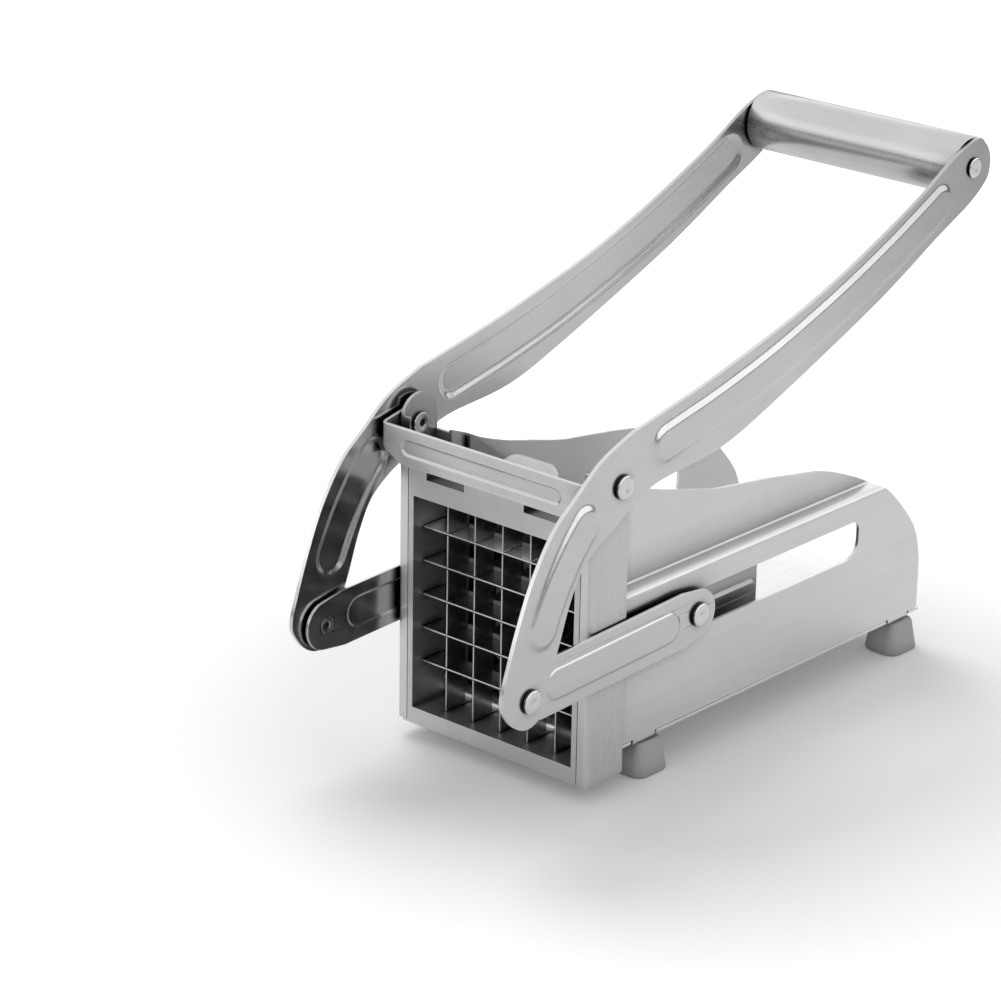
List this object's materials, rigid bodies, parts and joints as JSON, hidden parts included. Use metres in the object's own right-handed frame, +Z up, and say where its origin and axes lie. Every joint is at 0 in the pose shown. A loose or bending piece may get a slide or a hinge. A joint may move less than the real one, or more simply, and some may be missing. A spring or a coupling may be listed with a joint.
{
  "type": "french fry cutter",
  "caption": "Lever-handled french fry cutter: folded steel channel on rubber feet, lift-out blade grid, hinged handle whose links drive a studded pusher.",
  "frame": {"origin": "middle of the box round the whole object, at the table surface under the feet", "axes": "+X across the cutter, +Y from the blade grid back towards the grip, +Z up"},
  "size_m": [0.1002, 0.2646, 0.1968],
  "materials": {
    "wall_steel": "satin stainless sheet with fine lengthwise brushing",
    "floor_steel": "satin stainless sheet",
    "post_steel": "satin stainless sheet, upright brushing",
    "strap_steel": "satin stainless sheet",
    "rivet_steel": "bright turned steel",
    "screw_steel": "bright zinc plated steel",
    "grey_rubber": "matt moulded rubber",
    "cassette_metal": "dull grey cast metal",
    "blade_steel": "ground steel strip",
    "lever_steel": "polished satin stainless strip with pressed channels",
    "grip_steel": "satin stainless tube",
    "link_steel": "satin stainless strip with a pressed channel",
    "carriage_steel": "satin stainless sheet",
    "black_plastic": "black moulded plastic, slightly shiny from use",
    "white_nylon": "white moulded nylon"
  },
  "bodies": {
    "frame": {"right_side_plate": "wall_steel", "left_side_plate": "wall_steel", "floor_plate": "floor_steel", "right_front_post": "post_steel", "left_front_post": "post_steel", "front_strap": "strap_steel", "right_main_pivot_rivet": "rivet_steel", "left_main_pivot_rivet": "rivet_steel", "right_pivot_washer": "rivet_steel", "left_pivot_washer": "rivet_steel", "front_right_foot": "grey_rubber", "front_left_foot": "grey_rubber", "rear_right_foot": "grey_rubber", "rear_left_foot": "grey_rubber"},
    "blade_cassette": {"blade_frame": "cassette_metal", "vertical_blade_1": "blade_steel", "vertical_blade_2": "blade_steel", "vertical_blade_3": "blade_steel", "vertical_blade_4": "blade_steel", "vertical_blade_5": "blade_steel", "horizontal_blade_1": "blade_steel", "horizontal_blade_2": "blade_steel", "horizontal_blade_3": "blade_steel", "horizontal_blade_4": "blade_steel", "horizontal_blade_5": "blade_steel"},
    "handle": {"right_lever": "lever_steel", "left_lever": "lever_steel", "grip_tube": "grip_steel", "grip_rod": "rivet_steel", "right_link_pivot_rivet": "rivet_steel", "left_link_pivot_rivet": "rivet_steel", "right_link_washer": "rivet_steel", "left_link_washer": "rivet_steel"},
    "right_link": {"right_link": "link_steel", "right_link_rear_rivet": "rivet_steel"},
    "left_link": {"left_link": "link_steel", "left_link_rear_rivet": "rivet_steel"},
    "pusher": {"pusher_carriage": "carriage_steel", "pusher_block": "black_plastic", "block_screw_1": "screw_steel", "block_screw_2": "screw_steel", "block_screw_3": "screw_steel", "block_screw_4": "screw_steel", "right_slide_block": "white_nylon", "left_slide_block": "white_nylon", "right_slide_pin": "rivet_steel", "left_slide_pin": "rivet_steel"}
  },
  "joints": [
    {"name": "handle_hinge", "type": "hinge", "parent": "frame", "child": "handle", "pos_m": [0, -0.07325, 0.1148], "axis": [1, 0, 0], "range_deg": [-4.6, 65]},
    {"name": "pusher_slide", "type": "slide", "parent": "frame", "child": "pusher", "axis": [0, 1, 0], "range_m": [-0.006, 0.0835]},
    {"name": "right_link_hinge", "type": "hinge", "parent": "handle", "child": "right_link", "pos_m": [0, -0.11815, 0.05139], "axis": [1, 0, 0], "range_deg": [-60.6, 4.4]},
    {"name": "left_link_hinge", "type": "hinge", "parent": "handle", "child": "left_link", "pos_m": [0, -0.11815, 0.05139], "axis": [1, 0, 0], "range_deg": [-60.6, 4.4]},
    {"name": "cassette_lift", "type": "slide", "parent": "frame", "child": "blade_cassette", "axis": [0, 0, 1], "range_m": [0, 0.11]}
  ],
  "couplings": [
    {"joint": "pusher_slide", "follows": "handle_hinge", "m_per_rad": 0.0735},
    {"joint": "right_link_hinge", "follows": "handle_hinge", "ratio": -0.93},
    {"joint": "left_link_hinge", "follows": "handle_hinge", "ratio": -0.93}
  ]
}
